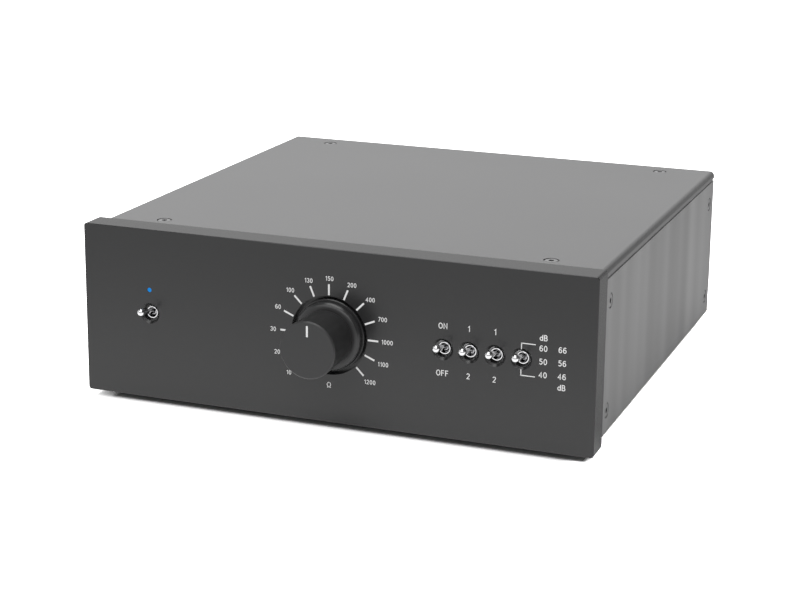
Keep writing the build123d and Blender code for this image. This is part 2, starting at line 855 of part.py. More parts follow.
def make_ribbon_cable():
    # level out of the front header, a quarter turn down, and straight into the rear header
    half = ribbon_thick / 2
    outer, inner = ribbon_bend + half, ribbon_bend - half
    low, far = header_x - ribbon_w / 2, header_x + ribbon_w / 2
    turn_z = header_z - ribbon_bend
    level = block(low, far, control_back + header_deep, ribbon_turn_y, header_z - half, header_z + half)
    ring = rod_x(outer, low, far, ribbon_turn_y, turn_z)
    ring -= rod_x(inner, low - over, far + over, ribbon_turn_y, turn_z)
    quarter = block(low - over, far + over, ribbon_turn_y, ribbon_turn_y + 2 * outer,
                    turn_z, header_z + outer)
    drop = block(low, far, ribbon_turn_y + inner, ribbon_turn_y + outer, main_top + header_h, turn_z)
    return level + (ring & quarter) + drop


def make_ribbon_headers():
    rear_y = ribbon_turn_y + ribbon_bend
    low, far = header_x - header_w / 2, header_x + header_w / 2
    half = header_h / 2
    front = block(low, far, control_back, control_back + header_deep, header_z - half, header_z + half)
    rear = block(low, far, rear_y - half, rear_y + half, main_top, main_top + header_h)
    return group(chamfer(box.edges().filter_by(Axis.X), panel_round) for box in (front, rear))


def make_link_headers():
    headers = []
    z = main_top + link_high / 2
    for centre in (-link_x, link_x):
        header = block(centre - link_w / 2, centre + link_w / 2, main_back - link_deep, main_back,
                       main_top, main_top + link_high)
        for step in range(link_pins):
            x = centre + (step - (link_pins - 1) / 2) * link_pitch
            header += square_y(pin_side, main_back - over, socket_board_front, x, z)
        headers.append(header)
    return group(headers)


# ---- parts on the main board
def both_channels(columns, rows):
    return [(side * x, y) for side in (-1, 1) for x in columns for y in rows]


def make_reservoir_capacitors():
    high = main_top + reservoir_high
    can = rod_z(reservoir_r, main_top, high, 0, 0)
    can = fillet(can.faces().sort_by(Axis.Z)[-1].edges(), panel_round)
    for turn in (0, 90):
        can -= Pos(0, 0, high) * Rot(0, 0, turn) * Box(reservoir_r, vent_groove, vent_groove)
    places = both_channels([reservoir_x], [main_back - rear for rear in reservoir_rear])
    return group(Pos(x, y, 0) * can for x, y in places)


def make_film_capacitors():
    width, deep, high = film_size
    box = Pos(0, 0, main_top + high / 2) * Box(width, deep, high)
    box = fillet(box.edges().filter_by(Axis.Z), panel_round)
    places = both_channels([main_half - edge for edge in film_edge], [main_back - rear for rear in film_rear])
    return group(Pos(x, y, 0) * box for x, y in places)


def make_relays():
    width, deep, high = relay_size
    box = Pos(0, 0, main_top + high / 2) * Box(width, deep, high)
    box = chamfer(box.faces().sort_by(Axis.Z)[-1].edges(), panel_round)
    places = both_channels([main_half - edge for edge in relay_edge],
                           [main_board_front + front for front in relay_front])
    return group(Pos(x, y, 0) * box for x, y in places)


def make_transistors():
    # cans with one flat side, on three legs
    low = main_top + can_legs
    can = rod_z(can_r, low, low + can_high, 0, 0)
    can -= block(-2 * can_r, 2 * can_r, -2 * can_r, -can_flat, low - over, low + can_high + over)
    half = leg_side / 2
    for x in (-leg_pitch, 0, leg_pitch):
        can += block(x - half, x + half, -half, half, main_top, low + over)
    places = both_channels([main_half - edge for edge in can_edge], [main_back - rear for rear in can_rear])
    return group(Pos(x, y, 0) * can for x, y in places)


def make_heatsinks():
    sinks = []
    high = main_top + sink_high
    pitch = (sink_w - fin_thick) / (fin_count - 1)
    for x in (-sink_x, sink_x):
        sink = block(x - sink_w / 2, x + sink_w / 2, sink_y, sink_y + sink_back, main_top, high)
        for fin in range(fin_count):
            left = x - sink_w / 2 + fin * pitch
            sink += block(left, left + fin_thick, sink_y, sink_y + sink_deep, main_top, high)
        sinks.append(sink)
    return group(sinks)


def make_regulators():
    regulators = []
    low = main_top + reg_lift
    tab_low = low + reg_high
    tab_high = tab_low + reg_tab
    leg_y = sink_y - reg_thick / 2
    for x in (-sink_x, sink_x):
        left, right = x - reg_w / 2, x + reg_w / 2
        body = block(left, right, sink_y - reg_thick, sink_y, low, tab_low)
        tab = block(left, right, sink_y - reg_tab_thick, sink_y, tab_low, tab_high)
        body += tab - rod_y(hole_r, sink_y - reg_thick, sink_y + over, x, (tab_low + tab_high) / 2)
        for leg in (x - reg_leg_pitch, x, x + reg_leg_pitch):
            body += block(leg - reg_leg_w / 2, leg + reg_leg_w / 2,
                          leg_y - reg_leg_thick / 2, leg_y + reg_leg_thick / 2, main_top, low)
        regulators.append(body)
    return group(regulators)


# ---- rear panel sockets
def socket_shell(x, bore_r, bore_deep):
    # die-cast flange on the panel with the barrel that runs through it and a round mouth
    flange = block(x - socket_flange_w / 2, x + socket_flange_w / 2, case_depth, socket_mouth,
                   socket_z - socket_flange_h / 2, socket_z + socket_flange_h / 2)
    flange = fillet(flange.edges().filter_by(Axis.Y), socket_flange_corner)
    flange = bevel_end(flange, mouth_bevel)
    for side in (-1, 1):
        place = Pos(x + side * socket_screw_x, socket_mouth, socket_z + side * socket_screw_z)
        flange -= place * face_back * screw_sink()
    shell = flange + rod_y(shell_r, case_depth - shell_length, case_depth + shell_root, x, socket_z)
    shell -= rod_y(bore_r, socket_mouth - bore_deep, socket_mouth + over, x, socket_z)
    lead_in = face_back * Cone(bore_r, bore_r + mouth_bevel, mouth_bevel)
    return shell - Pos(x, socket_mouth - mouth_bevel / 2, socket_z) * lead_in


def make_input_shells():
    shells = []
    half = latch_w / 2 + latch_play
    top = socket_z + latch_top
    slot_low = top - latch_h - latch_travel - latch_room
    for x in input_x:
        shell = socket_shell(x, input_bore_r, input_deep)
        slot = block(x - half, x + half, case_depth, socket_mouth + over, slot_low, top + latch_play)
        shells.append(shell - slot)
    return group(shells)


def make_input_inserts():
    # round block of the socket with its three contact holes, each with a small lead-in
    inserts = []
    bottom = socket_mouth - input_deep
    hole_end = socket_mouth - contact_deep
    for x in input_x:
        insert = rod_y(insert_r, bottom, socket_mouth - insert_sunk, x, socket_z)
        for dx, dz in contact_places:
            insert -= rod_y(contact_r, hole_end, socket_mouth, x + dx, socket_z + dz)
        inserts.append(bevel_end(insert, insert_bevel))
    return group(inserts)


def make_input_latch(x):
    # grooved thumb tab that slides down in the slot of the flange
    top = socket_z + latch_top
    face = socket_mouth + latch_proud
    tab = block(x - latch_w / 2, x + latch_w / 2, case_depth + latch_play, face, top - latch_h, top)
    tab = fillet(tab.faces().sort_by(Axis.Y)[-1].edges(), panel_round)
    for step in (-1, 0, 1):
        groove_x = x + step * latch_groove_pitch
        tab -= rod_z(latch_groove, top - latch_h - over, top + over, groove_x, face)
    return tab


def make_output_shells():
    shells = []
    top = socket_z + output_bore_r
    for x in output_x:
        shell = socket_shell(x, output_bore_r, output_deep)
        key = block(x - key_w / 2, x + key_w / 2, socket_mouth - output_deep, socket_mouth + over,
                    top - key_root, top + key_deep)
        shells.append(shell - key)
    return group(shells)


def make_output_inserts():
    bottom = socket_mouth - output_deep
    end = bottom + insert_base
    inserts = []
    for x in output_x:
        insert = rod_y(output_bore_r - insert_clear, bottom, end, x, socket_z)
        for dx, dz in contact_places:
            insert -= rod_y(plug_pin_r, bottom - over, end + over, x + dx, socket_z + dz)
        inserts.append(insert)
    return group(inserts)


def make_output_pins():
    bottom = socket_mouth - output_deep
    pins = [rod_y(plug_pin_r, bottom, socket_mouth - plug_pin_sunk, x + dx, socket_z + dz)
            for x in output_x for dx, dz in contact_places]
    return group(bevel_end(pin, plug_pin_bevel) for pin in pins)


def make_socket_tails():
    # solder tails from the balanced sockets to the upright board
    back = case_depth - shell_length
    return group(rod_y(tail_r, socket_board_back, back, x + dx, socket_z + dz)
                 for x in input_x + output_x for dx, dz in contact_places)


def make_socket_screws():
    screw = face_back * sunk_screw(socket_screw_length)
    return group(Pos(x + side * socket_screw_x, socket_mouth, socket_z + side * socket_screw_z) * screw
                 for x in input_x + output_x for side in (-1, 1))


def make_phono_shells():
    # threaded tail, flange and barrel in one turned piece
    inside = phono_seat - phono_inside
    bore = phono_core_r + phono_core_play
    shell = turned([
        (phono_core_r, inside),
        (phono_thread_r, inside),
        (phono_thread_r, phono_seat),
        (phono_flange_r, phono_seat),
        (phono_flange_r, phono_front),
        (phono_barrel_r, phono_front),
        (phono_barrel_r, phono_end - phono_bevel),
        (phono_barrel_r - phono_bevel, phono_end),
        (bore, phono_end),
        (bore, phono_front),
        (phono_core_r, phono_front)])
    return group(Pos(x, 0, phono_z) * shell for x in phono_x)


def make_phono_insulators():
    # each socket has a collar outside, a washer inside and a core round its contact
    pieces = []
    washer_front = panel_front - phono_washer
    core_end = phono_end - phono_core_sunk
    contact_front = phono_end - phono_pin_deep - phono_contact_floor
    for x in phono_x:
        collar = rod_y(phono_collar_r, case_depth, phono_seat, x, phono_z)
        collar += rod_y(phono_hole_r, panel_front, phono_seat, x, phono_z)
        pieces.append(collar - rod_y(phono_thread_r, washer_front, phono_seat + over, x, phono_z))
        washer = rod_y(phono_collar_r, washer_front, panel_front, x, phono_z)
        pieces.append(washer - rod_y(phono_thread_r, washer_front - over, phono_seat, x, phono_z))
        core = rod_y(phono_core_r, phono_seat - phono_inside, core_end, x, phono_z)
        core -= rod_y(phono_contact_r, contact_front, phono_end, x, phono_z)
        pieces.append(core - rod_y(tail_r, 0, phono_end, x, phono_z))
    return group(pieces)


def make_phono_contacts():
    contact_front = phono_end - phono_pin_deep - phono_contact_floor
    contacts = []
    for x in phono_x:
        contact = rod_y(phono_contact_r, contact_front, phono_end - phono_contact_sunk, x, phono_z)
        contact -= rod_y(phono_pin_r, phono_end - phono_pin_deep, phono_end, x, phono_z)
        contacts.append(contact + rod_y(tail_r, socket_board_back, contact_front, x, phono_z))
    return group(contacts)


def make_phono_nuts():
    back = panel_front - phono_washer
    nut = hex_y(phono_nut_flats, back - phono_nut_thick, back, 0, phono_z)
    nut -= rod_y(phono_thread_r, 0, case_depth, 0, phono_z)
    return group(Pos(x, 0, 0) * nut for x in phono_x)


def make_power_jack():
    front = panel_front - jack_deep
    end = case_depth + jack_nose
    body = block(-jack_w / 2, jack_w / 2, front, panel_front, phono_z - jack_h / 2, phono_z + jack_h / 2)
    body += rod_y(jack_nose_r, panel_front - over, end, 0, phono_z)
    body -= rod_y(jack_bore_r, end - jack_bore_deep, end + over, 0, phono_z)
    return body - rod_y(jack_pin_r, front - over, end, 0, phono_z)


def make_power_jack_contacts():
    front = panel_front - jack_deep
    pin = rod_y(jack_pin_r, front, case_depth + jack_nose - jack_pin_sunk, 0, phono_z)
    pin = bevel_end(pin, jack_pin_bevel)
    return pin + rod_y(tail_r, socket_board_back, front, 0, phono_z)


def make_ground_post():
    post = rod_y(ground_r, panel_front - ground_inside, case_depth + ground_reach, ground_x, phono_z)
    post = bevel_end(post, ground_bevel)
    post += hex_y(ground_hex_flats, case_depth, case_depth + ground_hex, ground_x, phono_z)
    nut = hex_y(ground_hex_flats, panel_front - ground_back_nut, panel_front, ground_x, phono_z)
    return group([post, nut - rod_y(ground_r, 0, case_depth, ground_x, phono_z)])


def make_ground_washer():
    start = case_depth + ground_hex
    washer = rod_y(ground_washer_r, start, start + ground_washer_thick, ground_x, phono_z)
    return washer - rod_y(ground_r + ground_play, 0, 2 * case_depth, ground_x, phono_z)


def make_ground_nut():
    # fluted thumb nut
    start = case_depth + ground_hex + ground_washer_thick
    end = start + ground_nut_high
    nut = bevel_end(rod_y(ground_nut_r, start, end, ground_x, phono_z), panel_round)
    for step in range(ground_nut_flutes):
        angle = math.radians(360 * step / ground_nut_flutes)
        flute_x = ground_x + ground_nut_r * math.cos(angle)
        flute_z = phono_z + ground_nut_r * math.sin(angle)
        nut -= rod_y(ground_flute_r, start - over, end + over, flute_x, flute_z)
    return nut - rod_y(ground_r + ground_play, 0, 2 * case_depth, ground_x, phono_z)


pieces = {
    "front_plate": make_front_plate,
    "inner_front_frame": make_inner_front_frame,
    "front_plate_screws": make_plate_screws,
    "rear_panel": make_rear_panel,
    "base_plate": make_base_plate,
    "left_side_panel": lambda: make_side_panel(-1),
    "right_side_panel": lambda: make_side_panel(1),
    "top_cover": make_top_cover,
    "cover_screws": make_cover_screws,
    "side_screws": make_side_screws,
    "base_screws": make_base_screws,
    "clinch_nuts": make_clinch_nuts,
    "feet": make_feet,
    "foot_screws": make_foot_screws,
    "knob": make_knob,
    "knob_grub_screw": make_grub_screw,
    "pot_shaft": make_pot_shaft,
    "pot_body": make_pot_body,
    "pot_nut": make_pot_nut,
    "switch_bodies": lambda: group(make_switch_body(x) for x in switch_x),
    "power_lever": lambda: make_lever(power_x),
    "mute_lever": lambda: make_lever(toggle_x[0]),
    "load_lever": lambda: make_lever(toggle_x[1]),
    "curve_lever": lambda: make_lever(toggle_x[2]),
    "gain_lever": lambda: make_lever(toggle_x[3]),
    "lever_pins": make_lever_pins,
    "power_light_pipe": make_light_pipe,
    "power_led": make_power_led,
    "control_board": make_control_board,
    "main_board": make_main_board,
    "socket_board": make_socket_board,
    "board_posts": make_board_posts,
    "board_screws": make_board_screws,
    "ribbon_cable": make_ribbon_cable,
    "ribbon_headers": make_ribbon_headers,
    "link_headers": make_link_headers,
    "reservoir_capacitors": make_reservoir_capacitors,
    "film_capacitors": make_film_capacitors,
    "relays": make_relays,
    "transistors": make_transistors,
    "heatsinks": make_heatsinks,
    "regulators": make_regulators,
    "input_socket_shells": make_input_shells,
    "input_socket_inserts": make_input_inserts,
    "left_input_latch": lambda: make_input_latch(input_x[0]),
    "right_input_latch": lambda: make_input_latch(input_x[1]),
    "output_socket_shells": make_output_shells,
    "output_socket_inserts": make_output_inserts,
    "output_socket_pins": make_output_pins,
    "socket_tails": make_socket_tails,
    "socket_screws": make_socket_screws,
    "phono_socket_shells": make_phono_shells,
    "phono_socket_insulators": make_phono_insulators,
    "phono_socket_contacts": make_phono_contacts,
    "phono_socket_nuts": make_phono_nuts,
    "power_jack": make_power_jack,
    "power_jack_contacts": make_power_jack_contacts,
    "ground_post": make_ground_post,
    "ground_washer": make_ground_washer,
    "ground_nut": make_ground_nut,
}

os.makedirs("parts", exist_ok=True)
for name, make in pieces.items():
    export_step(Pos(0, front_y, 0) * make(), f"parts/{name}.step")
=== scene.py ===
import json
import math

import bmesh
import bpy
from mathutils import Matrix, Vector


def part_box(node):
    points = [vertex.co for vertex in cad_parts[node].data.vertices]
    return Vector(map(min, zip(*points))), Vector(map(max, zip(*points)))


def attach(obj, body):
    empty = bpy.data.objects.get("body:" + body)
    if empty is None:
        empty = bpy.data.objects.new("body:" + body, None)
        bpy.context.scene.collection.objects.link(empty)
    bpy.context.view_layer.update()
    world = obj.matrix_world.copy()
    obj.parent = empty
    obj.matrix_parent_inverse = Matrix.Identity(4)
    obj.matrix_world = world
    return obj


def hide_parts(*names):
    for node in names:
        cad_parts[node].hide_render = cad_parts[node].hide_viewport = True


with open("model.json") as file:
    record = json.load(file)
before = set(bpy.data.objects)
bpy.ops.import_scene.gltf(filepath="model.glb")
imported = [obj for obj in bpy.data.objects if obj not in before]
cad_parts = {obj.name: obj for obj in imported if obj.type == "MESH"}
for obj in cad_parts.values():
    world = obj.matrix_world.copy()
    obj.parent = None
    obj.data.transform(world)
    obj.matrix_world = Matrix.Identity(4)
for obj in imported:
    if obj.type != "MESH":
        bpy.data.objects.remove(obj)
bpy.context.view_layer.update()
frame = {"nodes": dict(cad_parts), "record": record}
nodes = frame["nodes"]
mm = 0.001
print("frame loaded:", len(nodes), "parts")


# finishes, all of them made of nodes
class Signal:  # one output of a node; the operators add Math nodes
    def __init__(self, owner, socket):
        self.owner = owner
        self.socket = socket

    def maths(self, operation, *values):
        return self.owner.node("ShaderNodeMath", {"operation": operation}, dict(enumerate(values)))

    def __add__(self, other):
        return self.maths("ADD", self, other)

    def __radd__(self, other):
        return self.maths("ADD", other, self)

    def __sub__(self, other):
        return self.maths("SUBTRACT", self, other)

    def __rsub__(self, other):
        return self.maths("SUBTRACT", other, self)

    def __mul__(self, other):
        return self.maths("MULTIPLY", self, other)

    def __rmul__(self, other):
        return self.maths("MULTIPLY", other, self)

    def __gt__(self, other):
        return self.maths("GREATER_THAN", self, other)

    def __lt__(self, other):
        return self.maths("LESS_THAN", self, other)

    def fraction(self):
        return self.maths("FRACT", self)

    def size(self):
        return self.maths("ABSOLUTE", self)

    def larger(self, other):
        return self.maths("MAXIMUM", self, other)


def pick(sockets, key):
    if isinstance(key, int):
        return sockets[key]
    return next(socket for socket in sockets if socket.name == key and socket.enabled)


class NodeTree:  # the nodes of a material or of the world
    def __init__(self, owner):
        owner.use_nodes = True
        self.tree = owner.node_tree
        self.tree.nodes.clear()

    def node(self, kind, settings=None, sockets=None, out=0):
        made = self.tree.nodes.new(kind)
        for key, value in (settings or {}).items():
            setattr(made, key, value)
        for key, value in (sockets or {}).items():
            socket = pick(made.inputs, key)
            if isinstance(value, Signal):
                self.tree.links.new(value.socket, socket)
            else:
                socket.default_value = value
        return Signal(self, pick(made.outputs, out)) if len(made.outputs) else None

    def place(self, kind="Object"):
        return self.node("ShaderNodeTexCoord", out=kind)

    def axis(self, name, place=None):  # X is across, Y is along and Z is up
        return self.node("ShaderNodeSeparateXYZ", None, {0: place or self.place()}, name)

    def ray(self, kind):
        return self.node("ShaderNodeLightPath", out=f"Is {kind} Ray")

    def smooth(self, value, low, high):  # 0 below low, 1 above high
        return self.node("ShaderNodeMapRange", {"interpolation_type": "SMOOTHSTEP"},
                         {"Value": value, "From Min": low, "From Max": high})

    def between(self, factor, first, second, kind="RGBA"):
        return self.node("ShaderNodeMix", {"data_type": kind},
                         {"Factor": factor, "A": first, "B": second}, "Result")


class Finish(NodeTree):  # a material and the nodes it is made of
    def __init__(self, name):
        self.material = bpy.data.materials.new(name)
        super().__init__(self.material)

    def stretched(self, x, y, z):  # places squeezed along an axis, for brushing and grain
        return self.node("ShaderNodeMapping", None, {"Vector": self.place(), "Scale": (x, y, z)})

    def noise(self, scale, detail=2.0, place=None):
        return self.node("ShaderNodeTexNoise", None,
                         {"Vector": place or self.place(), "Scale": scale, "Detail": detail})

    def cells(self, scale):
        return self.node("ShaderNodeTexVoronoi", None, {"Vector": self.place(), "Scale": scale})

    def shade(self, colour, amount, factor):  # colour made lighter and darker by amount as factor varies
        dark = [channel * (1 - amount) for channel in colour]
        light = [channel * (1 + amount) for channel in colour]
        return self.between(factor, (*dark, 1), (*light, 1))

    def surface(self, colour, roughness, height=None, depth=0.0, **constants):
        sockets = {"Base Color": colour, "Roughness": roughness}
        for name, value in constants.items():
            sockets[name.replace("_", " ")] = value
        if height is not None:
            sockets["Normal"] = self.node("ShaderNodeBump", None, {"Height": height, "Distance": depth})
        shader = self.node("ShaderNodeBsdfPrincipled", None, sockets)
        self.node("ShaderNodeOutputMaterial", None, {"Surface": shader})
        return self.material


def anodised(finish, look):  # the colour, roughness and fine grain of blasted and dyed metal
    patches = finish.noise(look["patches"], detail=3.0)
    grain = finish.noise(look["grain"])
    mixed = patches * look["patchShare"] + grain * (1 - look["patchShare"])
    colour = finish.shade(look["colour"], look["variation"], mixed)
    return colour, look["roughness"] + (patches - 0.5) * look["roughVariation"], grain


def blastedAnodising(name, look):
    finish = Finish(name)
    colour, rough, grain = anodised(finish, look)
    return finish.surface(colour, rough, grain, look["depth"])


def foldedAnodising(name, look):  # anodising with painted shade along the lip of the sheet, and darker painted shade where it bends
    finish = Finish(name)
    colour, rough, grain = anodised(finish, look)
    up = finish.axis("Z")
    paintedShadeLip = 1 - finish.smooth(up, *(look["top"] - drop for drop in look["lipEnds"]))
    paintedShadeBend = finish.smooth(up, *(look["top"] - drop for drop in look["bendStarts"]))
    # painted shade: the colour is pulled towards black on the lip, and further on the bend
    colour = finish.between(paintedShadeLip * (paintedShadeBend * look["bendPaintedShade"] + look["lipPaintedShade"]), colour, (0, 0, 0, 1))
    return finish.surface(colour, rough, grain, look["depth"], Metallic=look["metal"])


def turnedKnob(name, look):  # blasted rougher on the grip than on the shoulder behind it
    finish = Finish(name)
    colour, rough, grain = anodised(finish, look)
    grip = 1 - finish.smooth(finish.axis("Y"), look["gripEnd"] - look["blend"], look["gripEnd"])
    rough = rough + grip * (look["gripRoughness"] - look["roughness"])
    return finish.surface(colour, rough, grain, look["depth"])


def brushedAnodising(name, look):  # upright brushing lines, with wide soft upright bands of painted reflection laid over them
    finish = Finish(name)
    narrow = finish.stretched(look["fine"], look["fine"], look["along"])
    wide = finish.stretched(look["bands"], look["bands"], look["bandsAlong"])
    lines = finish.noise(1.0, detail=3.0, place=narrow)
    # painted reflection: wide soft bands in the colour that stand in for the surroundings mirrored in the
    # side
    paintedReflectionBands = finish.smooth(finish.noise(1.0, detail=1.0, place=wide), *look["bandEdges"])
    mixed = paintedReflectionBands * look["paintedBandShare"] + lines * (1 - look["paintedBandShare"])
    colour = finish.shade(look["colour"], look["variation"], mixed)
    rough = look["roughness"] + (lines - 0.5) * look["roughVariation"]
    return finish.surface(colour, rough, lines, look["depth"], Metallic=look["metal"])


def powderCoat(name, look):
    finish = Finish(name)
    bumps = finish.noise(look["grain"])
    colour = finish.shade(look["colour"], look["variation"], finish.noise(look["patches"]))
    rough = look["roughness"] + (bumps - 0.5) * look["roughVariation"]
    return finish.surface(colour, rough, bumps, look["depth"])


def bareMetal(name, look):  # plated, turned or polished metal
    finish = Finish(name)
    alongScratches = look["fine"] * 0.2
    patches = finish.noise(look["patches"], detail=3.0)
    narrow = finish.stretched(look["fine"], alongScratches, look["fine"])
    scratches = finish.noise(1.0, place=narrow)
    colour = finish.shade(look["colour"], look["variation"], patches)
    rough = look["roughness"] + (patches + scratches - 1) * look["roughVariation"]
    return finish.surface(colour, rough, scratches, look["depth"], Metallic=1.0)


def moulded(name, look):
    finish = Finish(name)
    grain = finish.cells(look["grain"])
    patches = finish.noise(look["patches"])
    colour = finish.shade(look["colour"], look["variation"], patches)
    rough = look["roughness"] + (patches - 0.5) * look["roughVariation"]
    return finish.surface(colour, rough, grain, look["depth"])


def circuitBoard(name, look):  # solder mask over tracks
    finish = Finish(name)
    long = finish.stretched(1.0, look["stretch"], 1.0)
    ridge = finish.smooth(finish.noise(look["tracks"], detail=0.0, place=long), *look["edges"])
    colour = finish.between(ridge, (*look["mask"], 1), (*look["copper"], 1))
    rough = look["roughness"] + ridge * look["roughVariation"]
    return finish.surface(colour, rough, ridge, look["depth"])


def flatCable(name, look):  # side by side wires, with one marked at the edge
    finish = Finish(name)
    across = finish.axis("X")
    wires = ((across * (1 / look["pitch"])).fraction() - 0.5).size()
    colour = finish.between(across < look["marked"], (*look["colour"], 1), (*look["mark"], 1))
    rough = look["roughness"] + wires * look["roughVariation"]
    return finish.surface(colour, rough, 1 - wires, look["depth"])


def printedInk(name, look):
    finish = Finish(name)
    speck = finish.noise(look["grain"])
    colour = finish.shade(look["colour"], look["variation"], speck)
    return finish.surface(colour, look["roughness"] + speck * look["roughVariation"])


def litLens(name, look):
    finish = Finish(name)
    cloud = finish.noise(look["grain"], detail=1.0)
    colour = finish.shade(look["colour"], look["variation"], cloud)
    glow = finish.shade(look["glow"], look["variation"], cloud)
    rough = look["roughness"] + cloud * look["roughVariation"]
    return finish.surface(colour, rough, Specular_IOR_Level=look["gloss"],
                          Emission_Color=glow, Emission_Strength=look["strength"])


def insulator(name, look):  # white on the left channel, red on the right one
    finish = Finish(name)
    across = finish.axis("X")
    speck = finish.noise(look["grain"])
    white = finish.shade(look["white"], look["variation"], speck)
    red = finish.shade(look["red"], look["variation"], speck)
    onRight = (across.size() - look["middle"]) * across > 0.0
    colour = finish.between(onRight, white, red)
    return finish.surface(colour, look["roughness"] + speck * look["roughVariation"])


